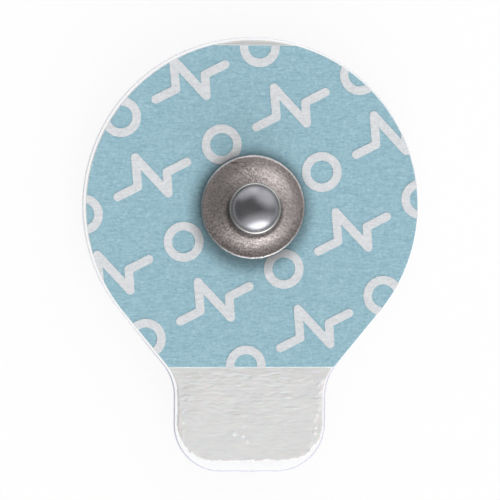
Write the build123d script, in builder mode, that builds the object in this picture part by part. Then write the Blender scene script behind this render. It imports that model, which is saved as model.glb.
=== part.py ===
from build123d import *

import os
from math import atan2, cos, degrees, radians, sin, tan

# A stick-on chest electrode for heart monitoring: a round foam pad with a grip tab, faced with
# printed tape, a snap stud in the middle, and a wet gel sponge under it in a clear formed liner.
# All lengths are in millimetres. The origin is on the stud's axis, on the underside of the
# liner's cup. +Z points up out of the stud, and the tab points towards -Y.

# The pad seen from above. The tab's length is measured from the edge of the disc.
pad_diameter = 25.8
tab_width = 11.4
tab_length = 7.05
tab_corner = 3.0
flank_angle = 39.2
neck_round = 4.15
tape_width = 25.0

# The liner seen from above: it shows a little all round the pad, and more at the tab's end
liner_margin = 0.25
liner_tab_extra = 0.9
liner_tab_corner = 3.75

# Thicknesses, from the bottom up
liner_sheet = 0.25
adhesive_thickness = 0.05
foam_thickness = 1.0
tape_thickness = 0.2
ink_thickness = 0.03

# The gel well through the foam, the cup formed in the liner under it, and the sponge in both
well_diameter = 16.0
cup_depth = 1.6
cup_draft = 15.0
cup_floor_round = 0.6
sponge_clearance = 0.25
sponge_bevel = 0.3

# The stud: one piece of formed sheet. From the top down it has a dome on a short skirt, a bead
# round the head, a neck, a raised seat that slopes down, and a flat brim with a folded edge.
stud_sheet = 0.28
dome_height = 0.9
shoulder_radius = 0.25
skirt_height = 0.05
bead_step = 0.28
bead_round = 0.26
head_diameter = 4.0
land_height = 0.38
head_undercut = 0.4
head_under_round = 0.3
neck_height = 0.5
neck_root_round = 0.25
seat_width = 0.9
seat_rise = 0.45
seat_round = 0.35
slope_width = 0.75
slope_round = 1.6
brim_width = 0.81
brim_height = 0.45
brim_round = 0.25

# The sensor: a moulded eyelet with its post up through the tape and a knob inside the stud
sensor_overhang = 0.2
sensor_edge = 0.4
sensor_crown = 0.25
post_clearance = 0.02
tape_hole_clearance = 0.15
knob_height = 0.45
knob_bevel = 0.15

# The print: rows of pulse traces and rings in one stroke width, rising to the right
stroke = 0.66
pulse_half_length = 3.0
pulse_foot = 1.25
pulse_peak = 2.1
pulse_trough = 1.5
ring_diameter = 3.1
row_spacing = 5.4
mark_spacing = 6.0
row_angle = 27.0
print_clearance = 0.05

# Levels worked out from the thicknesses
rim_top = cup_depth + liner_sheet
foam_bottom = rim_top + adhesive_thickness
tape_bottom = foam_bottom + foam_thickness
tape_top = tape_bottom + tape_thickness

# Heights on the stud, from the top of the tape up
seat_height = brim_height + seat_rise
neck_top = seat_height + neck_height
land_bottom = neck_top + head_undercut
land_top = land_bottom + land_height
skirt_bottom = land_top + bead_round
dome_bottom = skirt_bottom + skirt_height

# Radii on the stud, and those of the sensor that follow from them
head_radius = head_diameter / 2
dome_edge = head_radius - bead_step
neck_radius = head_radius - head_undercut
seat_radius = neck_radius + seat_width
slope_radius = seat_radius + slope_width
flange_radius = slope_radius + brim_width
post_radius = neck_radius - stud_sheet - post_clearance
sensor_radius = flange_radius + sensor_overhang

# Radii of the gel well and the cup
well_radius = well_diameter / 2
cup_floor_radius = well_radius - cup_depth * tan(radians(cup_draft))


def keyhole(margin, extra_reach, corner):
    """The pad's outline grown by a margin: a disc, straight flanks and a rounded tab."""
    disc_radius = pad_diameter / 2 + margin
    tab_edge = tab_width / 2 + margin
    tab_end = -(pad_diameter / 2 + tab_length + extra_reach)
    flank = radians(flank_angle)
    flank_start = (disc_radius * cos(flank), -disc_radius * sin(flank))
    neck_y = flank_start[1] - (flank_start[0] - tab_edge) / tan(flank)
    with BuildSketch() as outline:
        Circle(disc_radius)
        with BuildLine():
            Polyline((0, 0), flank_start, (tab_edge, neck_y), (tab_edge, tab_end), (0, tab_end))
            mirror(about=Plane.YZ)
        make_face()
        fillet(outline.vertices().group_by(Axis.Y)[1], neck_round - margin)
        fillet(outline.vertices().group_by(Axis.Y)[0], corner)
    return outline.sketch


def tape_outline():
    """The disc between its two straight cuts, which the tape and the adhesive share."""
    with BuildSketch() as outline:
        add(keyhole(0, 0, tab_corner))
        Rectangle(2 * pad_diameter, tape_width, mode=Mode.INTERSECT)
    return outline.sketch


# The release liner: a flat rim under the whole pad, with a cup formed down under the gel well.
# The cup's wall leans in by the draft angle, and its flat floor is what the electrode rests on.
rim_inner_radius = well_radius + 2 * liner_sheet
with BuildPart() as release_liner:
    with BuildSketch(Plane.XY.offset(cup_depth)):
        add(keyhole(liner_margin, liner_tab_extra, liner_tab_corner))
        Circle(rim_inner_radius, mode=Mode.SUBTRACT)
    extrude(amount=liner_sheet)
    with BuildSketch(Plane.XZ):
        with BuildLine():
            formed = FilletPolyline(
                (0, liner_sheet),
                (cup_floor_radius, liner_sheet),
                (well_radius, rim_top),
                (rim_inner_radius, rim_top),
                radius=[cup_floor_round, 0],
            )
            offset(formed, amount=liner_sheet, side=Side.RIGHT)
        make_face()
    revolve(axis=Axis.Z)
release_liner.part.label = "release_liner"


# The skin adhesive: a thin coat under the foam. It stops where the tape stops, so the tab is dry.
with BuildPart() as skin_adhesive:
    with BuildSketch(Plane.XY.offset(rim_top)):
        add(tape_outline())
        Circle(well_radius, mode=Mode.SUBTRACT)
    extrude(amount=adhesive_thickness)
skin_adhesive.part.label = "skin_adhesive"


# The foam pad with its grip tab, and the round gel well through it
with BuildPart() as foam_pad:
    with BuildSketch(Plane.XY.offset(foam_bottom)):
        add(keyhole(0, 0, tab_corner))
        Circle(well_radius, mode=Mode.SUBTRACT)
    extrude(amount=foam_thickness)
foam_pad.part.label = "foam_pad"


# The printed tape: a strip a little narrower than the disc, so it ends in a straight cut at the
# top and again where the tab begins
with BuildPart() as printed_tape:
    with BuildSketch(Plane.XY.offset(tape_bottom)):
        add(tape_outline())
        Circle(post_radius + tape_hole_clearance, mode=Mode.SUBTRACT)
    extrude(amount=tape_thickness)
printed_tape.part.label = "printed_tape"


# The stud's outline, from the skirt under the dome to below the brim's open foot. The dome's
# arc runs into the shoulder's arc, so its radius follows from the dome's width and height.
stud_corners = [
    (dome_edge, dome_bottom),
    (dome_edge, skirt_bottom),
    (head_radius, skirt_bottom),
    (head_radius, land_bottom),
    (neck_radius, neck_top),
    (neck_radius, seat_height),
    (seat_radius, seat_height),
    (slope_radius, brim_height),
    (flange_radius, brim_height),
    (flange_radius, -2 * stud_sheet),
]
stud_rounds = [
    0,
    bead_round,
    head_under_round,
    0,
    neck_root_round,
    seat_round,
    slope_round,
    brim_round,
]
dome_radius = (dome_edge**2 - 2 * dome_edge * shoulder_radius + dome_height**2) / (
    2 * (dome_height - shoulder_radius)
)
dome_centre = dome_bottom + dome_height - dome_radius
shoulder_angle = degrees(atan2(dome_bottom - dome_centre, dome_edge - shoulder_radius))


def stud_outline(rounds):
    """The stud seen from the side, both halves, with the given rounds at its corners."""
    with BuildSketch() as outline:
        with BuildLine():
            CenterArc((0, dome_centre), dome_radius, 90, shoulder_angle - 90)
            CenterArc(
                (dome_edge - shoulder_radius, dome_bottom),
                shoulder_radius,
                shoulder_angle,
                -shoulder_angle,
            )
            FilletPolyline(*stud_corners, radius=rounds)
            Line(stud_corners[-1], (0, stud_corners[-1][1]))
            mirror(about=Plane.YZ)
        make_face()
    return outline.sketch


# The stud is hollowed by the sheet's thickness, with plain corners inside where nobody looks
stud_plane = Plane(origin=(0, 0, tape_top), x_dir=(1, 0, 0), z_dir=(0, -1, 0))
stud_height = dome_bottom + dome_height
with BuildPart() as snap_stud:
    with BuildSketch(stud_plane):
        add(stud_outline(stud_rounds))
        offset(
            stud_outline([0] * len(stud_rounds)),
            amount=-stud_sheet,
            kind=Kind.INTERSECTION,
            mode=Mode.SUBTRACT,
        )
        with Locations((flange_radius / 2, stud_height / 2)):
            Rectangle(flange_radius, stud_height, mode=Mode.INTERSECT)
    revolve(axis=Axis.Z)
snap_stud.part.label = "snap_stud"


# The sensor eyelet: a crowned disc against the gel, with a post that the stud is pressed over
sensor_low = tape_bottom - sensor_edge
knob_radius = post_radius + knob_bevel
knob_top = tape_top + skirt_bottom - stud_sheet
knob_bottom = knob_top - knob_height
with BuildPart() as sensor_eyelet:
    with BuildSketch(Plane.XZ):
        with BuildLine():
            TangentArc(
                (0, sensor_low - sensor_crown), (sensor_radius, sensor_low), tangent=(1, 0)
            )
            Polyline(
                (sensor_radius, sensor_low),
                (sensor_radius, tape_bottom),
                (post_radius, tape_bottom),
                (post_radius, knob_bottom),
                (knob_radius, knob_bottom + knob_bevel),
                (knob_radius, knob_top - knob_bevel),
                (knob_radius - knob_bevel, knob_top),
                (0, knob_top),
                (0, sensor_low - sensor_crown),
            )
        make_face()
    revolve(axis=Axis.Z)
sensor_eyelet.part.label = "sensor_eyelet"


# The gel sponge fills the well and the cup, and lies round the sensor's disc
with BuildPart() as gel_sponge:
    with BuildSketch(Plane.XY.offset(liner_sheet)):
        Circle(cup_floor_radius - sponge_clearance)
    extrude(amount=tape_bottom - liner_sheet)
    chamfer(gel_sponge.edges().filter_by(GeomType.CIRCLE), sponge_bevel)
    add(sensor_eyelet.part, mode=Mode.SUBTRACT)
gel_sponge.part.label = "gel_sponge"


def pulse_mark():
    """One beat of a heart trace, as a line of even width with round ends."""
    with BuildSketch() as mark:
        with BuildLine():
            trace_line = Polyline(
                (-pulse_half_length, 0),
                (-pulse_foot, 0),
                (-pulse_foot / 3, pulse_peak),
                (pulse_foot / 2, -pulse_trough),
                (pulse_foot, 0),
                (pulse_half_length, 0),
            )
            offset(trace_line, amount=stroke / 2)
        make_face()
    return mark.sketch


def ring_mark():
    """A plain ring, drawn with the same stroke."""
    with BuildSketch() as mark:
        Circle(ring_diameter / 2)
        Circle(ring_diameter / 2 - stroke, mode=Mode.SUBTRACT)
    return mark.sketch


def mark_places(first):
    """Every second place along each row, starting from the first, as far as the pad reaches."""
    rows = int(pad_diameter / 2 / row_spacing) + 1
    columns = int(pad_diameter / 2 / mark_spacing) + 1
    return [
        (column * mark_spacing, row * row_spacing)
        for row in range(-rows, rows + 1)
        for column in range(-columns, columns + 1)
        if (column + row) % 2 == first
    ]


# The ink of the print, cut off by the tape's edges and left out under the stud
with BuildPart() as printed_marks:
    with BuildSketch(Plane.XY.offset(tape_top)):
        with Locations(Location((0, 0), row_angle)):
            with Locations(*mark_places(0)):
                add(pulse_mark())
            with Locations(*mark_places(1)):
                add(ring_mark())
        add(tape_outline(), mode=Mode.INTERSECT)
        Circle(flange_radius + print_clearance, mode=Mode.SUBTRACT)
    extrude(amount=ink_thickness)
printed_marks.part.label = "printed_marks"


os.makedirs("parts", exist_ok=True)
export_step(release_liner.part, "parts/release_liner.step")
export_step(skin_adhesive.part, "parts/skin_adhesive.step")
export_step(foam_pad.part, "parts/foam_pad.step")
export_step(printed_tape.part, "parts/printed_tape.step")
export_step(printed_marks.part, "parts/printed_marks.step")
export_step(gel_sponge.part, "parts/gel_sponge.step")
export_step(sensor_eyelet.part, "parts/sensor_eyelet.step")
export_step(snap_stud.part, "parts/snap_stud.step")
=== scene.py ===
# %% [markdown]
# A snap electrode, seen from almost straight above
#
# The real thing is a foam pad the size of a large coin. It carries a printed non-woven tape, a
# plated metal snap in its middle and a wet gel sponge below, and it waits on a clear plastic film
# until it is used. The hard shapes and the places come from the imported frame. This lesson dresses
# them: soft and thin pieces are made again as numpy grids, and each finish is made from nodes.

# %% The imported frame
import math

import bpy
import numpy as np
from mathutils import Matrix, Vector


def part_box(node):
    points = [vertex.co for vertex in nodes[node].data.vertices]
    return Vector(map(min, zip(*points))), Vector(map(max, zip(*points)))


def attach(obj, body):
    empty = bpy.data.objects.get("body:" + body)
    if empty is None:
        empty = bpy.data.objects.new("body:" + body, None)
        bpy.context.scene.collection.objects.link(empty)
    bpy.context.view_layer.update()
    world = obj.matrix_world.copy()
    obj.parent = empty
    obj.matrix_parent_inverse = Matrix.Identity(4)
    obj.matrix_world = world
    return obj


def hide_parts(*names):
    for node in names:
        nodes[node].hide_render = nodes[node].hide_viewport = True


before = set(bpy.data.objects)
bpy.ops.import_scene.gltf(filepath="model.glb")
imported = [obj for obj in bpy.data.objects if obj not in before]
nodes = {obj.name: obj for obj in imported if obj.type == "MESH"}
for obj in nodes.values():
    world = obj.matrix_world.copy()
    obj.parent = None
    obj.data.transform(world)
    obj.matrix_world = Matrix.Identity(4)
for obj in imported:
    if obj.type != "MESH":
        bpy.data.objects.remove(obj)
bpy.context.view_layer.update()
MM = 0.001
print("nodes in the frame:", ", ".join(sorted(nodes)))

# %% [markdown]
# Levels and outlines
#
# Every thin layer lies between two levels, and the frame already knows them. So the levels are
# read from the nodes' boxes instead of being typed again. The outline seen from above is one
# keyhole for all layers, grown by a small margin for the film, so its few sizes are named once.

# %% Levels read from the frame
def levels(node):
    """The lowest and the highest level of a node, in millimetres."""
    low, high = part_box(node)
    return round(low.z / MM, 4), round(high.z / MM, 4)


film_high = levels("release_liner")[1]
glue_low, glue_high = levels("skin_adhesive")
foam_low, foam_high = levels("foam_pad")
tape_low, tape_high = levels("printed_tape")
print("top of the film", film_high, "foam", foam_low, foam_high, "tape", tape_low, tape_high)

# %% Sizes of the outline seen from above, in millimetres
def ends(node):
    """Where a node ends along Y, in millimetres: on the tab's side, then on the other one."""
    low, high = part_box(node)
    return round(low.y / MM, 2), round(high.y / MM, 2)


TAB_END, PAD_RADIUS = ends("foam_pad")
TAPE_CUT = ends("printed_tape")[1]
FILM_END, FILM_TOP = ends("release_liner")
FILM_MARGIN = round(FILM_TOP - PAD_RADIUS, 2)
TAB_HALF = 5.7
TAB_CORNER, FILM_CORNER = 3.0, 3.75
NECK_ROUND = 4.15
FLANK = math.radians(39.2)
WELL_RADIUS = 8.0
print("pad", PAD_RADIUS, "cut", TAPE_CUT, "tab", TAB_END, "film", FILM_MARGIN, FILM_END)

# %% [markdown]
# Lines and arcs as arrays
#
# An outline could be drawn as a Bezier curve, but a curve's points then have to be read back to
# carry a section round it. Here each straight or arc is an array of points with a chosen step,
# so a stretch that needs fine detail simply gets a finer step.

# %% Straights and arcs
def straight(start, end, step):
    """Points from start towards end, evenly spaced, without the end itself."""
    start, end = np.array(start, float), np.array(end, float)
    count = max(1, round(np.linalg.norm(end - start) / step))
    share = np.arange(count)[:, None] / count
    return start + (end - start) * share


def arc(centre, radius, first, last, step):
    """Points on a circle from one angle to another, in radians, without the last one."""
    count = max(1, round(abs(last - first) * radius / step))
    angle = first + (last - first) * np.arange(count) / count
    return np.array(centre) + radius * np.stack([np.cos(angle), np.sin(angle)], axis=1)


# %% The keyhole outline
def keyhole(margin, end, corner, fine, coarse):
    """The right half of the keyhole, from the middle of the tab's end up to the top of the disc.

    The flank leaves the disc where the disc itself has the flank's slope. The neck's arc touches
    the flank and the tab's side, so its tangent length is its radius times the tangent of half
    the flank's angle."""
    radius, side, neck = PAD_RADIUS + margin, TAB_HALF + margin, NECK_ROUND - margin
    flank_top = radius * np.array([math.cos(FLANK), -math.sin(FLANK)])
    neck_y = flank_top[1] - (flank_top[0] - side) / math.tan(FLANK)
    reach = neck * math.tan(FLANK / 2)
    flank_low = np.array([side, neck_y]) + reach * np.array([math.sin(FLANK), math.cos(FLANK)])
    return np.concatenate([
        straight((0, end), (side - corner, end), fine),
        arc((side - corner, end + corner), corner, -math.pi / 2, 0, fine),
        straight((side, end + corner), (side, neck_y - reach), fine),
        arc((side + neck, neck_y - reach), neck, math.pi, math.pi - FLANK, fine),
        straight(flank_low, flank_top, 2 * fine),
        arc((0, 0), radius, -FLANK, math.pi / 2, coarse),
        [(0, radius)],
    ])


def cut_keyhole(step):
    """The keyhole between the tape's two straight cuts, as a half outline from low to high."""
    half = keyhole(0, TAB_END, TAB_CORNER, step, step)
    kept = half[np.abs(half[:, 1]) < TAPE_CUT - 0.3 * step]
    low_x = np.interp(-TAPE_CUT, half[:, 1], half[:, 0])
    high_x = math.sqrt(PAD_RADIUS**2 - TAPE_CUT**2)
    return np.concatenate([
        straight((0, -TAPE_CUT), (low_x, -TAPE_CUT), step),
        [(low_x, -TAPE_CUT)],
        kept,
        straight((high_x, TAPE_CUT), (0, TAPE_CUT), step),
        [(0, TAPE_CUT)],
    ])


def both_halves(half):
    """The half outline and its mirror image as one closed loop, counterclockwise from above."""
    return np.concatenate([half, (half * [-1, 1])[-2:0:-1]])


pad_loop = both_halves(keyhole(0, TAB_END, TAB_CORNER, 0.1, 0.45))
print("stations round the pad:", len(pad_loop))

# %% [markdown]
# A section carried round an outline
#
# All these pieces are one idea: a section, which is the cut you would see through half of the
# piece, carried round a loop. Each station of the section says how far out it lies. Near the
# middle that is a plain radius, near the edge it is the outline moved inwards by an inset, and
# between them it is a share of the way from the one to the other.

# %% Carry a section round a loop
def carry(loop, section):
    """Points on a grid, one row for each station of the section and one column for each of the loop.

    A row is (radius, share, inset, height): its points are the circle of that radius and the
    outline moved in by that inset, mixed by the share, at that height."""
    section = np.array(section, float)
    ahead = np.roll(loop, -1, axis=0) - np.roll(loop, 1, axis=0)
    outward = np.stack([ahead[:, 1], -ahead[:, 0]], axis=1)
    outward /= np.linalg.norm(outward, axis=1, keepdims=True)
    ray = loop / np.linalg.norm(loop, axis=1, keepdims=True)
    radius, share, inset, height = (section[:, i, None, None] for i in range(4))
    flat = (1 - share) * radius * ray + share * (loop - inset * outward)
    return np.concatenate([flat, np.broadcast_to(height, flat.shape[:2] + (1,))], axis=2)


def ring(count):
    """A unit circle of so many stations, for pieces that are turned."""
    angle = 2 * math.pi * np.arange(count) / count
    return np.stack([np.cos(angle), np.sin(angle)], axis=1)


# %% Turn a grid into a mesh
SHARP_FROM = math.radians(40)


def skin(name, grid, poles=False, cut=None):
    """A closed mesh over the grid. The rows go from the top, outwards, and back underneath.

    With poles, the first and the last row shrink to a point each; without, the last row joins
    the first one. cut is an optional number for each row or point, kept as a point attribute."""
    rows, columns = grid.shape[:2]
    k = np.arange(rows - 1 if poles else rows)[:, None]
    s = np.arange(columns)[None, :]
    index = np.arange(rows * columns).reshape(rows, columns)
    if poles:
        index = np.clip(index - columns + 1, 0, (rows - 2) * columns + 1)
    below, beside = (k + 1) % rows, (s + 1) % columns
    corners = np.stack([index[k, s], index[below, s], index[below, beside], index[k, beside]], axis=2)
    across = np.stack([s + 0 * k, s + 0 * k, s + 1 + 0 * k, s + 1 + 0 * k], axis=2) / columns
    down = np.stack([k + 0 * s, k + 1 + 0 * s, k + 1 + 0 * s, k + 0 * s], axis=2) / rows
    corners, across, down = (a.reshape(-1, 4) for a in (corners, across, down))
    vertices = grid.reshape(-1, 3)
    if poles:
        vertices = vertices[columns - 1:len(vertices) - columns + 1].copy()
        vertices[0], vertices[-1] = grid[0].mean(axis=0), grid[-1].mean(axis=0)
    faces, uv = [], []
    for corner, u, v in zip(corners.tolist(), across.tolist(), down.tolist()):
        kept = [i for i in range(4) if corner[i] != corner[i - 1]]
        faces.append([corner[i] for i in kept])
        uv.extend((u[i], v[i]) for i in kept)
    mesh = bpy.data.meshes.new(name)
    mesh.from_pydata((vertices * MM).tolist(), [], faces)
    mesh.uv_layers.new(name="surface").data.foreach_set("uv", np.array(uv, np.float32).ravel())
    if cut is not None:
        cut = np.array(cut, np.float32)
        values = cut.ravel() if cut.ndim == 2 else np.repeat(cut, columns)
        if poles:
            values = values[columns - 1:len(values) - columns + 1]
        mesh.attributes.new("cut", "FLOAT", "POINT").data.foreach_set("value", values)
    mesh.shade_smooth()
    mesh.set_sharp_from_angle(angle=SHARP_FROM)
    piece = bpy.data.objects.new(name, mesh)
    bpy.context.scene.collection.objects.link(piece)
    print(name, "has", len(vertices), "points and", len(faces), "faces")
    return piece


# %% [markdown]
# Small unevenness
#
# Nothing die-cut or coated is quite flat. A sum of a few dozen waves in random directions, all
# of about one wavelength, gives a calm, grainy unevenness that never repeats in view. The waves'
# directions come from a seeded generator, so each run gives the same surface.

# %% Waves in random directions
def ripple(points, wavelength, seed, count=40):
    """About -1 to 1 at each point: cosines of random direction and phase, averaged.

    Each wave's length is the given wavelength times 0.7 to 1.4."""
    chance = np.random.default_rng(seed)
    direction = chance.normal(size=(count, points.shape[-1]))
    direction /= np.linalg.norm(direction, axis=1, keepdims=True)
    direction *= 2 * math.pi / (wavelength * chance.uniform(0.7, 1.4, size=(count, 1)))
    phase = chance.uniform(0, 2 * math.pi, size=count)
    total = np.zeros(points.shape[:-1])
    for wave, start in zip(direction, phase):
        total += np.cos(points @ wave + start)
    return total * math.sqrt(2 / count) / 2


def fade(value, start, end):
    """0 before start, 1 past end, and a smooth S between them."""
    share = np.clip((value - start) / (end - start), 0, 1)
    return share * share * (3 - 2 * share)


def push(grid, height):
    """Moves each point along the surface's normal, found from its neighbours on the grid."""
    along = np.gradient(grid, axis=0)
    around = np.roll(grid, -1, axis=1) - np.roll(grid, 1, axis=1)
    normal = np.cross(along, around)
    normal /= np.maximum(np.linalg.norm(normal, axis=2, keepdims=True), 1e-9)
    return grid + normal * height[..., None]


# %% [markdown]
# The foam pad
#
# Closed-cell foam, a millimetre thick, cut by a die. The knife rolls its upper edge over a
# little. On the bare grip tab the skin shows: short fine wrinkles run across it, left by the
# roll the foam was wound on, with a few blisters, most of them along the right-hand edge.
# A noise texture alone would only tint such wrinkles, so they are raised in the mesh, each one
# a low ridge or groove with its own length and bend. The cut wall is pale too, and the blisters
# carry a painted highlight, so each point keeps a number for both, which the finish reads.

# %% Wrinkles and blisters of the tab
WRINKLE_SIDE, WRINKLE_TOP, WRINKLE_SPAN = 5.2, -12.75, 5.0
tab_chance = np.random.default_rng(11)


def tab_wrinkles(x, y, count=200):
    """Height in millimetres: low ridges and grooves across the tab, each a long flat bell along x
    and a narrow one along y, on a slightly sloped and bent line. Most are short and near the
    tape."""
    height = np.zeros_like(x)
    for _ in range(count):
        middle_x = tab_chance.uniform(-WRINKLE_SIDE, WRINKLE_SIDE)
        middle_y = WRINKLE_TOP - WRINKLE_SPAN * tab_chance.beta(1.1, 1.9)
        half_length = 0.1 + 0.9 * tab_chance.beta(1, 4)
        half_width = tab_chance.uniform(0.04, 0.07)
        slope, bend = tab_chance.normal(0, 0.13), tab_chance.normal(0, 0.15)
        rise = tab_chance.choice([-1, 1]) * tab_chance.uniform(0.012, 0.045)
        along = x - middle_x
        beside = y - middle_y - slope * along - bend * along**2
        height += rise * np.exp(-(along / half_length) ** 4 - (beside / half_width) ** 2)
    return height


def blisters(x, y, places):
    """Height in millimetres: a round bell at each (x, y, radius, rise)."""
    height = np.zeros_like(x)
    for middle_x, middle_y, radius, rise in places:
        height += rise * np.exp(-((x - middle_x) ** 2 + (y - middle_y) ** 2) / radius**2)
    return height


RIGHT_EDGE, LEFT_EDGE, CORNER_FROM = 5.28, -5.3, -16.9
blister_places = []
for edge_y in np.linspace(-13.6, -18.3, 10) + tab_chance.normal(0, 0.15, 10):
    edge_x = RIGHT_EDGE + tab_chance.normal(0, 0.17) - 0.5 * max(0, CORNER_FROM - edge_y)
    blister_radius, blister_rise = tab_chance.uniform(0.09, 0.3), tab_chance.uniform(0.02, 0.05)
    blister_places.append((edge_x, edge_y, blister_radius, blister_rise))
blister_places += [(LEFT_EDGE, y, 0.1, 0.03) for y in (-15.9, -16.8, -17.5, -17.9)]
blister_places += [(-1.33, -17.68, 0.14, 0.05), (-0.6, -17.9, 0.12, 0.05), (-0.3, -18.3, 0.15, 0.03)]
print("blisters on the tab:", len(blister_places))

# %% The pad's outline with an uneven tab edge
TAB_RIM, MOST_OUT = 17.0, 0.05
on_tab = fade(-pad_loop[:, 1], TAPE_CUT + 0.3, TAPE_CUT + 2.0)
nibble = ripple(pad_loop, 0.45, seed=3) + 0.8 * ripple(pad_loop, 1.6, seed=4)
right_edge = fade(pad_loop[:, 0], 4.6, 5.6)
pulled_in = np.maximum(on_tab * (0.05 + 0.06 * nibble + 0.04 * right_edge), -MOST_OUT)
foam_loop = pad_loop * (1 - pulled_in[:, None] / TAB_RIM)
print("the tab's edge lies in by up to", round(pulled_in.max(), 2), "mm")

# %% The foam pad's section
EDGE_ROUND, FOOT_INSET = 0.14, 0.05
FINE_FROM, COARSE_ROWS, FINE_ROWS = 0.36, 8, 110
quarter = np.linspace(0, math.pi / 2, 7)


def rolled(size, angles):
    """How far in and how far down a quarter round lies, at each angle from its top."""
    return [(size * (1 - math.sin(a)), size * (1 - math.cos(a))) for a in angles]


coarse_share = np.linspace(0, FINE_FROM, COARSE_ROWS)
fine_share = np.linspace(FINE_FROM, 1, FINE_ROWS)[1:]
foam_wall = np.linspace(foam_high - EDGE_ROUND, foam_low + FOOT_INSET, 9)[1:]
foam_section = [(WELL_RADIUS, t, EDGE_ROUND, foam_high) for t in np.append(coarse_share, fine_share)]
foam_section += [(0, 1, inward, foam_high - down) for inward, down in rolled(EDGE_ROUND, quarter[1:])]
foam_section += [(0, 1, 0, z) for z in foam_wall]
foam_section += [(WELL_RADIUS, t, FOOT_INSET, foam_low) for t in np.linspace(1, 0, 8)]
foam_section += [(WELL_RADIUS, 0, 0, (foam_low + foam_high) / 2)]
foam_grid = carry(foam_loop, foam_section)

# %% Raise the wrinkles and make the pad
SKIN_RELIEF, DEEPEST, HIGHEST = 0.012, -0.05, 0.09
WALL_PALE, BLISTER_HIGHLIGHT, HIGHLIGHT_RISE = 0.15, 0.8, 0.06
foam_x, foam_y = foam_grid[..., 0], foam_grid[..., 1]
bare = fade(-foam_y, TAPE_CUT + 0.05, TAPE_CUT + 0.35)
upper = fade(foam_grid[..., 2], foam_high - EDGE_ROUND, foam_high - 0.02)
shown = bare * upper
raised = blisters(foam_x, foam_y, blister_places)
relief = tab_wrinkles(foam_x, foam_y) + raised
relief += SKIN_RELIEF * ripple(foam_grid[..., :2], 1.4, seed=5)
fine_lines = ripple(foam_grid[..., :2] * [0.4, 1.3], 0.45, seed=7)
relief += SKIN_RELIEF * fade(foam_y, -18.5, -14.5) * fine_lines
foam_grid[..., 2] += shown * np.clip(relief, DEEPEST, HIGHEST)
foam_rows = np.array(foam_section)
wall = (foam_rows[:, 1] == 1) & (foam_rows[:, 3] < foam_high - 0.1)
# Pale on the cut wall, and a painted highlight on the raised blisters
pale = WALL_PALE * wall[:, None] + shown * BLISTER_HIGHLIGHT * np.clip(raised / HIGHLIGHT_RISE, 0, 1)
foam = skin("foam_pad_soft", foam_grid, cut=np.clip(pale, 0, 1))

# %% [markdown]
# The printed tape
#
# Non-woven tape, a fifth of a millimetre thick, glued over the whole disc between two straight
# cuts. It lies flat, so it is a sheet laid on the foam. Its upper face sinks by a hundredth of a
# millimetre between the fibres, and the white core of the web shows along the cut edge.

# %% The tape's sheet
POST_HOLE = 1.45
TAPE_ROUND, HALF_SUNK = 0.05, 0.006
TAPE_ROWS = 76
tape_loop = both_halves(cut_keyhole(0.16))
tape_section = [(POST_HOLE, t, TAPE_ROUND, tape_high) for t in np.linspace(0, 1, TAPE_ROWS)]
tape_section += [(0, 1, inward, tape_high - down) for inward, down in rolled(TAPE_ROUND, quarter[2::2])]
tape_section += [(0, 1, 0, tape_low)]
tape_section += [(POST_HOLE, t, 0, tape_low) for t in np.linspace(1, 0, 9)[1:]]
tape_grid = carry(tape_loop, tape_section)
on_top = fade(tape_grid[..., 2], tape_high - 0.01, tape_high)
web = np.clip(ripple(tape_grid[..., :2], 0.5, seed=6), -1, 1)
tape_grid[..., 2] -= on_top * HALF_SUNK * (1 + web)
tape_cut = [0.0] * TAPE_ROWS + [0.6] + [1.0] * (len(tape_section) - TAPE_ROWS - 1)
tape = skin("tape_sheet", tape_grid, cut=tape_cut)

# %% [markdown]
# The skin adhesive
#
# A sticky coat a twentieth of a millimetre thick. Only its rim can be seen, as a glossy line
# between foam and film, so its edge gets the slight unevenness of a coat that has crept.

# %% The adhesive coat
GLUE_BACK, GLUE_CREEP, GLUE_EDGE = 0.05, 0.03, 0.02
glue_loop = both_halves(cut_keyhole(0.3))
crept = GLUE_CREEP * ripple(glue_loop, 1.1, seed=8)
glue_loop = glue_loop * (1 - (GLUE_BACK + crept)[:, None] / PAD_RADIUS)
glue_section = [(WELL_RADIUS, t, GLUE_EDGE, glue_high) for t in np.linspace(0, 1, 7)]
glue_section += [(0, 1, 0, (glue_low + glue_high) / 2)]
glue_section += [(WELL_RADIUS, t, GLUE_EDGE, glue_low) for t in np.linspace(1, 0, 7)]
glue = skin("adhesive_coat", carry(glue_loop, glue_section))

# %% [markdown]
# The clear film
#
# The release liner is stiff clear film, formed into a shallow cup under the gel. It could stay
# as the plain solid, but a clear sheet is only seen by its edges: the die leaves a fine frosted
# bevel, which reads as one thin line round the pad. So the film is carried again here with that
# bevel, and a number on the mesh marks where it is frosted.

# %% The film's section: the rim, then the cup's wall and floor
SHEET = 0.25
BEVEL = 0.12
BEVEL_STEP = BEVEL / 3
CUP_FLOOR = 7.571
CUP_ROUND = 0.6
wall_lean = math.atan2(WELL_RADIUS - CUP_FLOOR, film_high - SHEET)


def cup_line(shift):
    """Radius and height down the cup's wall, round the corner and along the floor to the axis.

    shift is 0 on the inner face. On the outer face it is the sheet's thickness, and the corner's
    radius grows by it."""
    turn = math.pi / 2 - wall_lean
    reach = CUP_ROUND * math.tan(turn / 2)
    centre = (CUP_FLOOR - reach, SHEET + CUP_ROUND)
    radius = CUP_ROUND + shift
    angles = np.linspace(turn, 0, 12)
    bend = [(centre[0] + radius * math.sin(a), centre[1] - radius * math.cos(a)) for a in angles]
    high = film_high - shift
    start = WELL_RADIUS + shift / math.cos(wall_lean) - shift * math.tan(wall_lean)
    return [(start, high)] + bend + [(r, SHEET - shift) for r in np.linspace(centre[0], 0, 8)[1:]]


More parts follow.
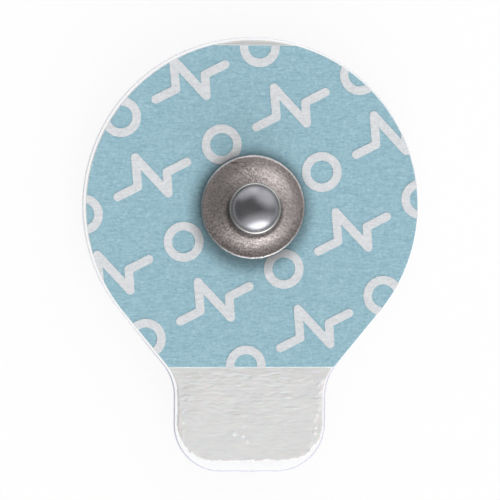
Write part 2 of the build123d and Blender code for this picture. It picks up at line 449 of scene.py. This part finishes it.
film_loop = both_halves(keyhole(FILM_MARGIN, FILM_END, FILM_CORNER, 0.14, 0.3))
film_under = film_high - SHEET
outwards = np.linspace(0, 1, 14)[1:]
inwards = np.linspace(1, 0, 14)[:-1]
film_section = [(r, 0, 0, z) for r, z in reversed(cup_line(0))]
film_section += [(WELL_RADIUS, t, BEVEL, film_high) for t in outwards]
film_section += [(0, 1, BEVEL_STEP, film_high - BEVEL_STEP), (0, 1, 0, film_high - BEVEL)]
film_section += [(0, 1, 0, film_under + BEVEL), (0, 1, BEVEL_STEP, film_under + BEVEL_STEP)]
film_section += [(WELL_RADIUS + SHEET, t, BEVEL, film_under) for t in inwards]
film_section += [(r, 0, 0, z) for r, z in cup_line(SHEET)]
film_cut = [1.0 if row[1] == 1 and row[2] < BEVEL else 0.0 for row in film_section]
film = skin("clear_film", carry(film_loop, film_section), poles=True, cut=film_cut)

# %% [markdown]
# The gel sponge
#
# A disc of open foam, soaked in gel. It fills the well and the cup and lies round the sensor.
# From above it is hidden, but it shows through the clear cup from the side and from below, as a
# wet body with pores. It is turned from a section and then roughened along its normals.

# %% The sponge
SENSOR_RADIUS, SENSOR_EDGE, SENSOR_CROWN = 4.3, 0.4, 0.25
SPONGE_BEVEL, PORE_DEPTH = 0.3, 0.03
SENSOR_GAP, TOP_GAP, UNDER_GAP = 0.03, 0.02, 0.01
sponge_low, sponge_high = levels("gel_sponge")
sponge_radius = round(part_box("gel_sponge")[1].x / MM, 3)
under = sponge_high - SENSOR_EDGE
top = sponge_high - TOP_GAP
hollow, flat_end = SENSOR_RADIUS + SENSOR_GAP, sponge_radius - SPONGE_BEVEL
side_levels = np.linspace(sponge_high - SPONGE_BEVEL, sponge_low + SPONGE_BEVEL, 22)[1:]
edge = rolled(SPONGE_BEVEL, quarter[1:])
sponge_line = [
    (r, under - SENSOR_CROWN * (1 - (r / SENSOR_RADIUS) ** 2) - SENSOR_GAP)
    for r in np.linspace(0, hollow, 16)
]
sponge_line += [(hollow, z) for z in np.linspace(under, top, 4)]
sponge_line += [(r, top) for r in np.linspace(SENSOR_RADIUS + 2 * SENSOR_GAP, flat_end, 16)]
sponge_line += [(sponge_radius - inward, top - down) for inward, down in edge]
sponge_line += [(sponge_radius, z) for z in side_levels]
sponge_line += [(sponge_radius - inward, sponge_low + up) for up, inward in edge]
sponge_line += [(r, sponge_low + UNDER_GAP) for r in np.linspace(flat_end, 0, 40)[1:]]
sponge_grid = carry(ring(280), [(r, 0, 0, z) for r, z in sponge_line])
pores = np.clip(ripple(sponge_grid, 0.55, seed=21, count=60), -1, 1)
outside = fade(np.hypot(sponge_grid[..., 0], sponge_grid[..., 1]), 0.3, 0.8)
sponge_grid = push(sponge_grid, -PORE_DEPTH * outside * (1 + pores) / 2)
sponge = skin("wet_sponge", sponge_grid, poles=True)

# %% [markdown]
# The snap stud
#
# The stud is one blank of plated sheet, drawn and folded by a press: a dome on a short skirt, a
# bead that the lead's spring grips, a neck, a raised seat, a slope and a flat brim whose edge is
# turned down. Light runs along each of these bends as a bright or dark ring, so the bends are
# most of its look. The section follows the frame's stud, with a seat that slopes a little, a
# sharper shoulder and a slightly wider dome, as the rings of light in the photograph ask for. It
# is turned on the axis in such close steps that no facet shows in a reflection.

# %% A path with rounded corners
def rounded(corners, radii, step):
    """The line through the corners, each one replaced by an arc that touches both its sides.

    The arc starts and ends at its radius times the tangent of half the turn from the corner."""
    corners = np.array(corners, float)
    path = [corners[:1]]
    for i, radius in zip(range(1, len(corners) - 1), radii):
        before, here, after = corners[i - 1:i + 2]
        into = (here - before) / np.linalg.norm(here - before)
        out = (after - here) / np.linalg.norm(after - here)
        turn = math.atan2(into[0] * out[1] - into[1] * out[0], into @ out)
        reach = radius * math.tan(abs(turn) / 2)
        side = math.copysign(1, turn)
        centre = here - into * reach + side * radius * np.array([-into[1], into[0]])
        first = math.atan2(*(here - into * reach - centre)[::-1])
        count = max(3, round(abs(turn) * radius / step))
        angle = first + turn * np.linspace(0, 1, count + 1)
        path.append(centre + radius * np.stack([np.cos(angle), np.sin(angle)], axis=1))
    path.append(corners[-1:])
    return np.concatenate(path)


def filled(path, step):
    """The same line with extra points, so that no two neighbours are further apart than step."""
    sides = [(a, b) for a, b in zip(path[:-1], path[1:]) if np.linalg.norm(b - a) > 1e-6]
    return np.concatenate([straight(a, b, step) for a, b in sides] + [path[-1:]])


def moved_in(corners, amount):
    """The corners of the line beside this one: each side shifted inwards, met with the next."""
    corners = np.array(corners, float)
    along = np.diff(corners, axis=0)
    along /= np.linalg.norm(along, axis=1, keepdims=True)
    shifted = corners[:-1] + amount * np.stack([along[:, 1], -along[:, 0]], axis=1)
    met = [shifted[0]]
    for start, way, other, its_way in zip(shifted[:-1], along[:-1], shifted[1:], along[1:]):
        reach = np.linalg.solve(np.stack([way, -its_way], axis=1), other - start)
        met.append(start + way * reach[0])
    return np.array(met)


# %% The stud's section
STUD_SHEET = 0.28
SHOULDER = 0.12
HEAD, NECK, SEAT, SLOPE, FLANGE = 2.0, 1.6, 2.45, 3.38, 4.06
BRIM_HIGH, SEAT_HIGH, SEAT_ROOT, NECK_HIGH, HEAD_LOW = 0.45, 0.8, 1.07, 1.4, 1.8
DOME_EDGE, BEAD_HIGH, DOME_LOW, DOME_RISE = 1.77, 2.44, 2.49, 0.9
BRIM_FOOT = 0.02
stud_corners = [
    (DOME_EDGE, DOME_LOW), (DOME_EDGE, BEAD_HIGH), (HEAD, BEAD_HIGH), (HEAD, HEAD_LOW),
    (NECK, NECK_HIGH), (NECK, SEAT_ROOT), (SEAT, SEAT_HIGH), (SLOPE, BRIM_HIGH),
    (FLANGE, BRIM_HIGH), (FLANGE, 0.0),
]
stud_rounds = [0.01, 0.22, 0.3, 0.06, 0.25, 0.8, 2.6, 0.25]
dome_radius = (DOME_EDGE**2 - 2 * DOME_EDGE * SHOULDER + DOME_RISE**2) / (2 * (DOME_RISE - SHOULDER))
dome_centre = DOME_LOW + DOME_RISE - dome_radius
shoulder_angle = math.atan2(DOME_LOW - dome_centre, DOME_EDGE - SHOULDER)


def dome_line(thickness, step):
    """From the axis over the dome and round its shoulder to the skirt: two arcs that share a
    tangent, both made smaller by the sheet's thickness for the inner face."""
    return np.concatenate([
        arc((0, dome_centre), dome_radius - thickness, math.pi / 2, shoulder_angle, step),
        arc((DOME_EDGE - SHOULDER, DOME_LOW), SHOULDER - thickness, shoulder_angle, 0, step),
    ])


outer_bends = rounded(stud_corners, stud_rounds, step=0.035)
outer_line = np.concatenate([dome_line(0, step=0.05), filled(outer_bends, step=0.045)])
inner_bends = filled(moved_in(stud_corners, STUD_SHEET), step=0.3)
inner_line = np.concatenate([dome_line(STUD_SHEET, step=0.2), inner_bends])
inner_line = np.concatenate([inner_line[inner_line[:, 1] > BRIM_FOOT], [(FLANGE - STUD_SHEET, 0.0)]])
stud_line = np.concatenate([outer_line, inner_line[::-1]])
stud_line[0, 0] = stud_line[-1, 0] = 0
print("dome radius", round(dome_radius, 3), "stations on the stud's section", len(stud_line))

# %% Turn the stud and give it the tumbled unevenness of plated stampings
FLANGE_BELOW, FOOT_ROWS = 1.0, 4
stud_grid = carry(ring(432), [(r, 0, 0, tape_high + z) for r, z in stud_line])
stud_radius = np.hypot(stud_grid[..., 0], stud_grid[..., 1])
on_flange = fade(stud_radius, 1.75, 2.1) * (stud_grid[..., 2] < tape_high + FLANGE_BELOW)
outer_rows = np.arange(len(stud_line))[:, None] < len(outer_line) - FOOT_ROWS
pebbles = 0.0035 * ripple(stud_grid, 0.2, seed=31) + 0.004 * ripple(stud_grid, 0.6, seed=32)
dents = 0.006 * ripple(stud_grid, 2.5, seed=33)
stud_grid = push(stud_grid, outer_rows * (on_flange * pebbles + 0.3 * dents))
stud = skin("stud_shell", stud_grid, poles=True)

# %% [markdown]
# Nodes for the finishes
#
# Each finish below is a Principled shader. Its patterns read the piece's own Object coordinates,
# turned from metres into millimetres by a Mapping node, so "6 grains per millimetre" means just
# that on every piece. The helpers below each add a node or two and give back its output, so a
# finish reads as a list of its layers. They serve the floor's material and the world as well.

# %% Helpers for single nodes
def wire(owner, kind, inputs, **settings):
    """Adds a node to a material or a world. A socket given as an input is linked, and anything
    else is its value."""
    made = owner.node_tree.nodes.new(kind)
    for key, value in settings.items():
        setattr(made, key, value)
    for key, value in inputs.items():
        if isinstance(value, bpy.types.NodeSocket):
            owner.node_tree.links.new(value, made.inputs[key])
        else:
            made.inputs[key].default_value = value
    return made


def maths(owner, operation, first, second):
    """Two numbers added, multiplied, or the larger of them."""
    return wire(owner, "ShaderNodeMath", {0: first, 1: second}, operation=operation).outputs[0]


def vector_maths(owner, operation, inputs, result):
    """A step on vectors or colours: their length, dot product or scale."""
    return wire(owner, "ShaderNodeVectorMath", inputs, operation=operation).outputs[result]


def mapped(owner, value, start, end, at_start, at_end, curve="LINEAR"):
    """A number that goes from at_start to at_end as the value goes from start to end."""
    inputs = {"Value": value, "From Min": start, "From Max": end, "To Min": at_start, "To Max": at_end}
    return wire(owner, "ShaderNodeMapRange", inputs, interpolation_type=curve).outputs["Result"]


def eased(owner, value, start, end, at_start, at_end):
    """The same on a smooth S, which starts and ends gently."""
    return mapped(owner, value, start, end, at_start, at_end, curve="SMOOTHSTEP")


# %% Helpers for materials
MIX_SHARE, MIX_FIRST, MIX_SECOND, MIX_RESULT = 0, 6, 7, 2


def new_finish(name, **plain):
    """A material, its Principled shader and the place on the piece in millimetres."""
    finish = bpy.data.materials.new(name)
    finish.use_nodes = True
    shader = finish.node_tree.nodes["Principled BSDF"]
    for key, value in plain.items():
        shader.inputs[key.replace("_", " ")].default_value = value
    where = wire(finish, "ShaderNodeTexCoord", {}).outputs["Object"]
    place = wire(finish, "ShaderNodeMapping", {"Vector": where, "Scale": (1 / MM, 1 / MM, 1 / MM)})
    print("a finish:", name)
    return finish, shader, place.outputs["Vector"]


def feed(finish, shader, **sockets):
    """Links outputs to the shader's own sockets."""
    for key, value in sockets.items():
        finish.node_tree.links.new(value, shader.inputs[key.replace("_", " ")])


def show(finish, surface):
    """Makes a shader's output the material's surface."""
    output = finish.node_tree.nodes["Material Output"]
    finish.node_tree.links.new(surface, output.inputs["Surface"])


def grain(finish, place, per_mm, stretch=(1, 1, 1), turn=0.0, detail=3.0):
    """Noise with so many grains per millimetre, stretched along the piece if wanted."""
    mapping = {"Vector": place, "Scale": stretch, "Rotation": (0, 0, turn)}
    scaled = wire(finish, "ShaderNodeMapping", mapping).outputs["Vector"]
    noise = {"Vector": scaled, "Scale": per_mm, "Detail": detail}
    return wire(finish, "ShaderNodeTexNoise", noise).outputs["Fac"]


def cells(finish, place, per_mm):
    """The distance from the nearest cell's middle, for so many round cells per millimetre."""
    inputs = {"Vector": place, "Scale": per_mm}
    return wire(finish, "ShaderNodeTexVoronoi", inputs, feature="SMOOTH_F1").outputs["Distance"]


def spread(finish, value, low, high, start=0.3, end=0.7):
    """Maps a pattern's range to low..high. A noise's middle is the range if no other is given."""
    return mapped(finish, value, start, end, low, high)


def colour_input(colour):
    """What a colour socket takes: an output as it is, or three numbers with a fourth of 1."""
    return colour if isinstance(colour, bpy.types.NodeSocket) else (*colour, 1)


def tint(finish, share, first, second):
    """A colour between two, by a share."""
    inputs = {MIX_SHARE: share, MIX_FIRST: colour_input(first), MIX_SECOND: colour_input(second)}
    return wire(finish, "ShaderNodeMix", inputs, data_type="RGBA").outputs[MIX_RESULT]


def dimmed(finish, colour, share):
    """A colour times a number."""
    return vector_maths(finish, "SCALE", {0: colour, "Scale": share}, "Vector")


def bumps(finish, height, depth, below=None):
    """A Bump node whose full height is depth, in millimetres, over another bump if given."""
    inputs = {"Height": height, "Distance": depth * MM, "Strength": 1.0}
    if below is not None:
        inputs["Normal"] = below
    return wire(finish, "ShaderNodeBump", inputs).outputs["Normal"]


def out_from(finish, place, x=0.0, y=0.0, narrow=1.0):
    """The distance from an upright axis through (x, y), in millimetres. Distances along x count
    for less where narrow is below 1, so that lines of one value are ovals."""
    mapping = {"Vector": place, "Location": (-x, -y, 0), "Scale": (narrow, 1, 0)}
    flat = wire(finish, "ShaderNodeMapping", mapping).outputs["Vector"]
    return vector_maths(finish, "LENGTH", {0: flat}, "Value")


def cut_share(finish):
    """The number that skin() wrote on the mesh: 1 on a cut edge, 0 elsewhere, or between."""
    return wire(finish, "ShaderNodeAttribute", {}, attribute_name="cut").outputs["Fac"]


# %% [markdown]
# Foam
#
# Polyethylene foam is white with a faint satin skin. Light sinks a little way into it. The skin
# has streaks much finer than the raised wrinkles. Where the mesh's number says so, the foam is
# lighter and its cells show as fine pits: on the cut wall, and on the blisters as a painted
# highlight.

# %% The foam's finish
foam_white, foam_shader, foam_place = new_finish(
    "foam_white", Roughness=0.5, Subsurface_Weight=0.15, Subsurface_Scale=0.0004, IOR=1.45
)
streaks = grain(foam_white, foam_place, 1.6, stretch=(0.75, 2.6, 1), detail=6)
cloud = grain(foam_white, foam_place, 0.35, detail=2)
foam_colour = tint(foam_white, spread(foam_white, streaks, 0, 1), (0.68, 0.68, 0.68), (0.74, 0.74, 0.735))
foam_colour = tint(foam_white, spread(foam_white, cloud, 0, 0.4), foam_colour, (0.74, 0.74, 0.73))
# Lighter on the cut wall, and a painted highlight on the blisters
foam_colour = tint(foam_white, cut_share(foam_white), foam_colour, (0.93, 0.93, 0.94))
skin_bump = bumps(foam_white, streaks, 0.035)
cell_height = maths(foam_white, "MULTIPLY", cells(foam_white, foam_place, 7.0), cut_share(foam_white))
feed(
    foam_white, foam_shader, Base_Color=foam_colour, Roughness=spread(foam_white, cloud, 0.42, 0.58),
    Normal=bumps(foam_white, cell_height, 0.1, below=skin_bump),
)

# %% [markdown]
# Printed tape and its print
#
# The web is a mat of fine fibres, so its print is never one even blue: fibres lie lighter, the
# gaps between them darker. Two stretched noises at different angles stand for fibres, and a
# finer round one for the ink's mottle and its flecks. A fourth one gives the short dark dashes
# of pits between fibres. The marks are the same web left white, so they share the pattern, and
# only the colours change.

# %% One web in different colours
# Painted shade round the stud: where the darker ring lies and how dark it gets
STUD_SHADE_MIDDLE = (-0.12, -0.3)
STUD_SHADE_FULL, STUD_SHADE_END, STUD_SHADE_SHARE = 3.9, 5.35, 0.42


def web_finish(name, dark, light, fleck, pit, core):
    """The fibre mat in two colours that lie close together, with flecks and dash-like pits in
    their own colours, and with a core colour on cut edges. Round the stud its colour is
    multiplied by a share that rises to 1: painted shade, the stud's shadow on the web."""
    finish, shader, place = new_finish(name, Roughness=0.8, IOR=1.4, Specular_IOR_Level=0.3)
    lying = grain(finish, place, 2.5, stretch=(0.5, 3.0, 1), turn=0.5)
    crossing = grain(finish, place, 2.5, stretch=(0.5, 3.0, 1), turn=-0.9)
    mottle = grain(finish, place, 5.0, detail=4)
    pits = grain(finish, place, 4.0, stretch=(0.45, 2.0, 1), detail=2)
    height = maths(finish, "ADD", maths(finish, "MAXIMUM", lying, crossing), mottle)
    colour = tint(finish, spread(finish, height, 0, 1, 0.8, 1.35), dark, light)
    colour = tint(finish, spread(finish, mottle, 0, 0.15, 0.6, 0.72), colour, fleck)
    colour = tint(finish, spread(finish, pits, 0, 0.5, 0.6, 0.7), colour, pit)
    colour = tint(finish, cut_share(finish), colour, core)
    # Painted shade: the web is darker in a ring round the stud, where its shadow falls
    from_stud = out_from(finish, place, *STUD_SHADE_MIDDLE)
    stud_shade = eased(finish, from_stud, STUD_SHADE_FULL, STUD_SHADE_END, STUD_SHADE_SHARE, 1.0)
    feed(
        finish, shader, Base_Color=dimmed(finish, colour, stud_shade),
        Roughness=spread(finish, mottle, 0.7, 0.9), Normal=bumps(finish, height, 0.012),
    )
    return finish


tape_blue = web_finish(
    "tape_blue", dark=(0.27, 0.455, 0.535), light=(0.385, 0.595, 0.675),
    fleck=(0.6, 0.74, 0.79), pit=(0.17, 0.36, 0.45), core=(0.8, 0.81, 0.82),
)
print_white = web_finish(
    "print_white", dark=(0.645, 0.66, 0.68), light=(0.8, 0.815, 0.835),
    fleck=(0.6, 0.66, 0.69), pit=(0.56, 0.62, 0.67), core=(0.75, 0.75, 0.76),
)

# %% [markdown]
# Plated metal
#
# Small stampings are tumbled after plating. The flange keeps a fine pebbled skin that sparkles,
# with dirt in it as dark specks. A smear and a few drawn streaks lie on the side away from the
# tab. Painted shade darkens the flange in the crevice under the head and on the tab's side,
# painted light makes the other side lighter, and the rim is tinted cool as a painted reflection.
# Each of these is one more layer over the nickel's colour, placed by a noise, by the distance
# from a point on the flange, or by both. The bead and the dome are rubbed smooth and reflect more
# clearly, so a slow haze and fine scratches are enough. The dome's nickel is a darker copy of the
# bead's, a painted shade.

# %% The nickel of the flange
def flange_finish():
    """Pebbled nickel, layer over layer: two tones, specks, a smear, streaks, then painted shade
    and painted light by place, and the rim's painted cool reflection."""
    finish, shader, place = new_finish("flange_nickel", Metallic=1.0)
    pebble = grain(finish, place, 4.5, detail=2)
    speck = grain(finish, place, 8.0, detail=2)
    colour = tint(finish, spread(finish, pebble, 0, 1), (0.31, 0.275, 0.268), (0.47, 0.42, 0.41))
    # Specks of dirt, more of them on the left and on the tab's side
    dirtier = vector_maths(finish, "DOT_PRODUCT", {0: place, 1: (-0.011, -0.016, 0.0)}, "Value")
    dirt = spread(finish, maths(finish, "ADD", speck, dirtier), 0, 0.7, 0.54, 0.7)
    colour = tint(finish, dirt, colour, (0.11, 0.096, 0.092))
    # One smear, broken up by rubbing
    smeared = eased(finish, out_from(finish, place, -1.2, 3.35), 0.3, 1.3, 1.0, 0.0)
    rubbing = grain(finish, place, 2.2, stretch=(0.6, 2.0, 1), turn=-0.35)
    smear = maths(finish, "MULTIPLY", smeared, spread(finish, rubbing, 0, 0.75, 0.45, 0.62))
    colour = tint(finish, smear, colour, (0.16, 0.125, 0.12))
    # Streaks drawn outwards along the section, on the side away from the tab
    surface = wire(finish, "ShaderNodeUVMap", {}, uv_map="surface").outputs["UV"]
    drawn = grain(finish, surface, 1.0, stretch=(170, 26, 1), detail=2)
    far_side = eased(finish, out_from(finish, place, 0.0, 2.3), 0.4, 1.3, 1.0, 0.0)
    streak = maths(finish, "MULTIPLY", far_side, spread(finish, drawn, 0, 0.75, 0.48, 0.62))
    colour = tint(finish, streak, colour, (0.13, 0.11, 0.105))
    # Painted shade in the crevice under the head and on the tab's side, painted light on the far side
    crevice_shade = eased(finish, out_from(finish, place, 0.05, -0.35, narrow=0.93), 1.9, 2.22, 0.32, 1.0)
    tab_side_shade = eased(finish, out_from(finish, place, -0.3, 1.2), 4.0, 4.7, 1.0, 0.78)
    far_side_light = eased(finish, out_from(finish, place, 0.6, 3.0), 1.0, 3.2, 1.27, 1.0)
    for share in (crevice_shade, tab_side_shade, far_side_light):
        colour = dimmed(finish, colour, share)
    # The rim is tinted cool: a painted reflection along the brim's edge
    cool_rim_reflection = eased(finish, out_from(finish, place), 3.9, 4.01, 0.0, 0.85)
    feed(
        finish, shader, Base_Color=tint(finish, cool_rim_reflection, colour, (0.35, 0.38, 0.395)),
        Roughness=spread(finish, speck, 0.28, 0.45), Normal=bumps(finish, pebble, 0.024),
    )
    return finish


flange_nickel = flange_finish()

# %% The nickel of the bead and of the dome
def rubbed_finish(name, dark, light):
    """Nickel rubbed smooth: two colours in a slow haze, and fine scratches."""
    finish, shader, place = new_finish(name, Metallic=1.0)
    haze = grain(finish, place, 1.2, detail=3)
    scratch = grain(finish, place, 4.0, stretch=(0.4, 4.0, 0.4), turn=0.7, detail=4)
    feed(
        finish, shader, Base_Color=tint(finish, spread(finish, haze, 0, 1), dark, light),
        Roughness=spread(finish, scratch, 0.2, 0.3), Normal=bumps(finish, scratch, 0.0012),
    )
    return finish


# The dome's copy of the nickel is darker than the bead's: painted shade
dome_nickel_shaded = rubbed_finish("dome_nickel_shaded", (0.2, 0.2, 0.22), (0.245, 0.243, 0.258))
bead_nickel = rubbed_finish("bead_nickel", (0.29, 0.282, 0.277), (0.37, 0.36, 0.352))

# %% [markdown]
# Clear film, wet sponge, adhesive and the coated eyelet
#
# The film is clear plastic with a faint orange peel from forming, and its die-cut bevel is
# frosted and pale round the disc; towards the tab it turns grey-lavender, a painted shade of the
# edge's dark line. The sponge is off-white foam under a coat of gel, the adhesive a clear tacky
# layer, and the eyelet moulded plastic under a grey coat of silver and its chloride.

# %% The film's finish
FROST_PALE_TO, EDGE_SHADE_FROM = -9.0, -13.0
film_clear, film_shader, film_place = new_finish(
    "film_clear", Base_Color=(0.97, 0.975, 0.985, 1), Roughness=0.04, IOR=1.46, Transmission_Weight=1.0
)
peel = grain(film_clear, film_place, 0.7, detail=2)
along_film = wire(film_clear, "ShaderNodeSeparateXYZ", {"Vector": film_place}).outputs["Y"]
# Painted shade: the frost turns grey-lavender towards the tab, the dark line at the film's edge
edge_shade = spread(film_clear, along_film, 0, 1, FROST_PALE_TO, EDGE_SHADE_FROM)
frost_and_edge_shade = tint(film_clear, edge_shade, (0.84, 0.85, 0.89), (0.56, 0.56, 0.68))
frost = wire(film_clear, "ShaderNodeBsdfDiffuse", {"Color": frost_and_edge_shade})
film_mix = wire(film_clear, "ShaderNodeMixShader", {
    0: cut_share(film_clear), 1: film_shader.outputs["BSDF"], 2: frost.outputs["BSDF"],
})
show(film_clear, film_mix.outputs[0])
film_roughness = spread(film_clear, peel, 0.02, 0.07)
feed(film_clear, film_shader, Roughness=film_roughness, Normal=bumps(film_clear, peel, 0.01))

# %% The sponge, the adhesive and the eyelet
PORE_MIDDLE, PORE_WALL = 0.1, 0.6
sponge_wet, sponge_shader, sponge_place = new_finish(
    "sponge_wet", Roughness=0.25, Subsurface_Weight=0.3, Subsurface_Scale=0.0008,
    Coat_Weight=0.8, Coat_Roughness=0.05,
)
pore = cells(sponge_wet, sponge_place, 2.6)
from_pore = spread(sponge_wet, pore, 0, 1, PORE_MIDDLE, PORE_WALL)
feed(
    sponge_wet, sponge_shader,
    Base_Color=tint(sponge_wet, from_pore, (0.62, 0.67, 0.68), (0.84, 0.87, 0.87)),
    Roughness=spread(sponge_wet, pore, 0.18, 0.4, PORE_MIDDLE, PORE_WALL),
    Normal=bumps(sponge_wet, pore, 0.06),
)

glue_clear, glue_shader, glue_place = new_finish("glue_clear", Alpha=0.6, IOR=1.47)
smear = grain(glue_clear, glue_place, 1.5, stretch=(0.3, 1, 1))
feed(
    glue_clear, glue_shader,
    Base_Color=tint(glue_clear, spread(glue_clear, smear, 0, 1), (0.8, 0.8, 0.75), (0.88, 0.88, 0.85)),
    Roughness=spread(glue_clear, smear, 0.15, 0.35), Normal=bumps(glue_clear, smear, 0.01),
)

eyelet_grey, eyelet_shader, eyelet_place = new_finish("eyelet_grey", Roughness=0.6)
coat = grain(eyelet_grey, eyelet_place, 8.0, detail=3)
blotch = grain(eyelet_grey, eyelet_place, 0.8, detail=2)
eyelet_colour = tint(eyelet_grey, spread(eyelet_grey, coat, 0, 1), (0.36, 0.35, 0.34), (0.5, 0.49, 0.48))
eyelet_colour = tint(eyelet_grey, spread(eyelet_grey, blotch, 0, 0.5), eyelet_colour, (0.38, 0.34, 0.36))
feed(
    eyelet_grey, eyelet_shader, Base_Color=eyelet_colour,
    Roughness=spread(eyelet_grey, coat, 0.5, 0.7), Normal=bumps(eyelet_grey, coat, 0.006),
)

# %% [markdown]
# Putting the finishes on
#
# The two nodes whose shape is right, the print and the eyelet, keep their meshes and only get a
# better material. The stud has three finishes: the flange's, the bead's and the dome's.

# %% Materials on the pieces
# The head's faces lie over HEAD_FROM, and the dome's lie within its edge and foot, give or take a
# hair
HEAD_FROM, HAIR = 1.6, 0.01
FINISHES = [
    (foam, foam_white), (tape, tape_blue), (glue, glue_clear), (film, film_clear), (sponge, sponge_wet),
    (stud, flange_nickel), (stud, bead_nickel), (stud, dome_nickel_shaded),
]
for piece, finish in FINISHES:
    piece.data.materials.append(finish)
centres = np.zeros(len(stud.data.polygons) * 3)
stud.data.polygons.foreach_get("center", centres)
face_x, face_y, face_z = centres.reshape(-1, 3).T / MM
on_head = face_z > tape_high + HEAD_FROM
on_dome = (face_z > tape_high + BEAD_HIGH - 2 * HAIR) & (np.hypot(face_x, face_y) < DOME_EDGE + HAIR)
stud.data.polygons.foreach_set("material_index", on_head.astype(np.int32) + on_dome)
nodes["printed_marks"].material_slots[0].material = print_white
nodes["sensor_eyelet"].material_slots[0].material = eyelet_grey
print("faces of the stud's head", on_head.sum(), "and of its dome", on_dome.sum())

# %% What each piece stands for
STANDS_FOR = [
    (foam, "foam_pad", "white_foam"),
    (tape, "printed_tape", "blue_tape"),
    (glue, "skin_adhesive", "adhesive"),
    (film, "release_liner", "clear_film"),
    (sponge, "gel_sponge", "gel_sponge"),
    (stud, "snap_stud", "nickel_plate"),
]
for piece, node, slot in STANDS_FOR:
    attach(piece, "root")
    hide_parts(node)


# %% [markdown]
# The floor
#
# The photograph is a cut-out on white. A floor of white paint would turn grey in the pad's
# shadow, and lamps strong enough to whiten it would burn out the foam. So what the camera sees
# of the floor is mostly plain white of strength 1, with a share of the lit floor left in it for
# the shadow.

# %% The floor
FLOOR_HALF, FLOOR_DEPTH = 1.5, 0.00002
WHITE_SHARE = 0.9
floor_corners = [
    (x * FLOOR_HALF, y * FLOOR_HALF, -FLOOR_DEPTH) for x, y in ((-1, -1), (1, -1), (1, 1), (-1, 1))
]
floor_mesh = bpy.data.meshes.new("floor")
floor_mesh.from_pydata(floor_corners, [], [(0, 1, 2, 3)])
floor = bpy.data.objects.new("floor", floor_mesh)
bpy.context.scene.collection.objects.link(floor)
floor_paint = bpy.data.materials.new("floor_paint")
floor_paint.use_nodes = True
floor_paint.node_tree.nodes.remove(floor_paint.node_tree.nodes["Principled BSDF"])
rays = wire(floor_paint, "ShaderNodeLightPath", {}).outputs
seen = maths(floor_paint, "MAXIMUM", rays["Is Camera Ray"], rays["Is Glossy Ray"])
white = maths(floor_paint, "MULTIPLY", seen, WHITE_SHARE)
white = maths(floor_paint, "MAXIMUM", white, rays["Is Transmission Ray"])
lit = wire(floor_paint, "ShaderNodeBsdfDiffuse", {"Color": (0.95, 0.95, 0.95, 1)}).outputs[0]
glow = wire(floor_paint, "ShaderNodeEmission", {"Color": (1, 1, 1, 1), "Strength": 1.0}).outputs[0]
show(floor_paint, wire(floor_paint, "ShaderNodeMixShader", {0: white, 1: lit, 2: glow}).outputs[0])
floor_mesh.materials.append(floor_paint)
print("the floor is", 2 * FLOOR_HALF, "metres wide")

# %% [markdown]
# The light
#
# The light is a tent of one low level, dim where the camera looks through, with soft round
# patches near its foot. The two at the picture's lower side draw the bright crescent on the dome
# and its long fade, and the broad one at the upper right and the small one at the upper left give
# its grey upper half. The left side stays dim.

# %% The tent
tent = bpy.data.worlds.new("tent")
bpy.context.scene.world = tent
tent.use_nodes = True
tent.node_tree.nodes.clear()
way = wire(tent, "ShaderNodeTexCoord", {}).outputs["Generated"]


def lobe(azimuth, elevation, inner, outer, strength):
    """A round soft patch of light: full within the inner angle of its middle, nothing past the
    outer one. azimuth is counted from -Y towards +X, and all angles are in degrees."""
    a, e = math.radians(azimuth), math.radians(elevation)
    middle = (math.sin(a) * math.cos(e), -math.cos(a) * math.cos(e), math.sin(e))
    near = vector_maths(tent, "DOT_PRODUCT", {0: way, 1: middle}, "Value")
    return eased(tent, near, math.cos(math.radians(outer)), math.cos(math.radians(inner)), 0.0, strength)


PATCHES = [(13, 4, 15, 39, 4.5), (14, 8, 8, 76, 1.7), (139, 13, 8, 63, 1.75), (205, 3, 8, 48, 1.7)]
TENT_LEVEL = 0.4
level = lobe(*PATCHES[0])
for patch in PATCHES[1:]:
    level = maths(tent, "ADD", level, lobe(*patch))
level = maths(tent, "ADD", TENT_LEVEL, level)
light = wire(tent, "ShaderNodeBackground", {"Strength": level})
wire(tent, "ShaderNodeOutputWorld", {"Surface": light.outputs[0]})
print("the tent has", len(PATCHES), "patches over a level of", TENT_LEVEL)

# %% [markdown]
# The camera
#
# The camera looks down from a long way off. The stud's head sits a little down and to the right
# of its brim in the photograph, which tells how far the camera stood from the plumb line: about
# five degrees to the left and four away from the tab. It was also rolled by half a degree.

# %% The camera
PICTURE_WIDTH, PIXELS_PER_MM = 500, 12.9
LENS, SENSOR = 200.0, 36.0
VIEW_MIDDLE = (-0.19, -3.35)
TILT_LEFT, TILT_AWAY, ROLL = math.radians(5.0), math.radians(3.8), math.radians(0.46)
aim = Vector((*VIEW_MIDDLE, tape_high)) * MM
back = Vector((-math.tan(TILT_LEFT), math.tan(TILT_AWAY), 1)).normalized()
side_way = Matrix.Rotation(ROLL, 3, back) @ Vector((0, 1, 0)).cross(back).normalized()
up_way = back.cross(side_way)
frame_width = PICTURE_WIDTH / PIXELS_PER_MM
stand = aim + back * (frame_width * MM * LENS / SENSOR)
lens = bpy.data.cameras.new("camera")
lens.lens, lens.sensor_width = LENS, SENSOR
lens.clip_start, lens.clip_end = 0.005, 20
camera = bpy.data.objects.new("camera", lens)
camera.matrix_world = Matrix.Translation(stand) @ Matrix((side_way, up_way, back)).transposed().to_4x4()
bpy.context.scene.collection.objects.link(camera)
bpy.context.scene.camera = camera
print("the camera stands", round((stand - aim).length, 3), "metres away")

# %% The last lines: plain view settings
bpy.context.scene.view_settings.view_transform = "Standard"
